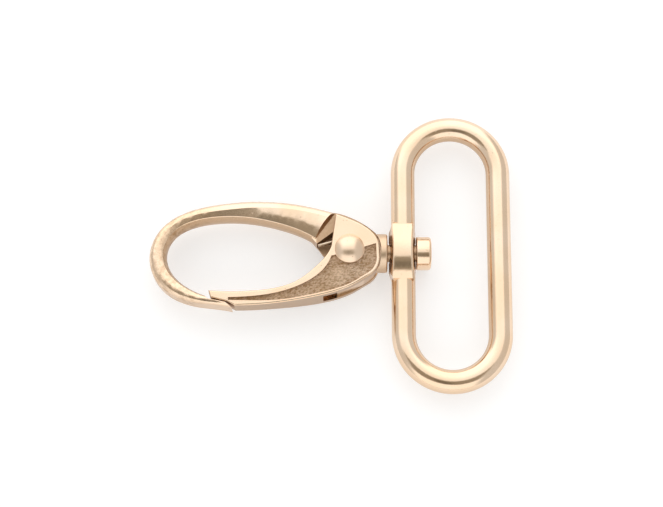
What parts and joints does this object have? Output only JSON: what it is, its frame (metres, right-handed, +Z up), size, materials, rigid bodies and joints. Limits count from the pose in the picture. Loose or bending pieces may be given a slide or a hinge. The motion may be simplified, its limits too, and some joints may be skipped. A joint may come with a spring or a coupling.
{
  "type": "swivel snap hook",
  "caption": "Swivel snap hook: oval hook with an inward-opening sprung gate, turning on a pin in the boss of an oval strap ring.",
  "frame": {"origin": "on the surface the part lies on, under the middle of its length and width", "axes": "+X along the swivel axis, from the hook towards the strap ring; +Z up from the surface, through the rivet's head"},
  "size_m": [0.0602, 0.0474, 0.0085],
  "materials": {
    "plated_casting": "zinc casting, polished and light-gold plated",
    "plated_steel": "turned steel, polished and light-gold plated",
    "spring_steel": "drawn spring wire, thinly plated"
  },
  "bodies": {
    "hook": {"hook_body": "plated_casting", "gate_rivet": "plated_steel", "gate_spring": "spring_steel", "swivel_pin": "plated_steel"},
    "gate": {"gate": "plated_casting"},
    "ring": {"strap_ring": "plated_casting"}
  },
  "joints": [
    {"name": "gate_hinge", "type": "hinge", "parent": "hook", "child": "gate", "pos_m": [0.00309, 0, 0.00388], "axis": [0, 0, -1], "range_deg": [0, 26], "stiffness_Nm_per_rad": 0.06, "springref_deg": -8.59, "deforming": ["gate_spring"]},
    {"name": "ring_swivel", "type": "hinge", "parent": "hook", "child": "ring", "pos_m": [0.01206, 0, 0.00388], "axis": [1, 0, 0], "continuous": true}
  ]
}
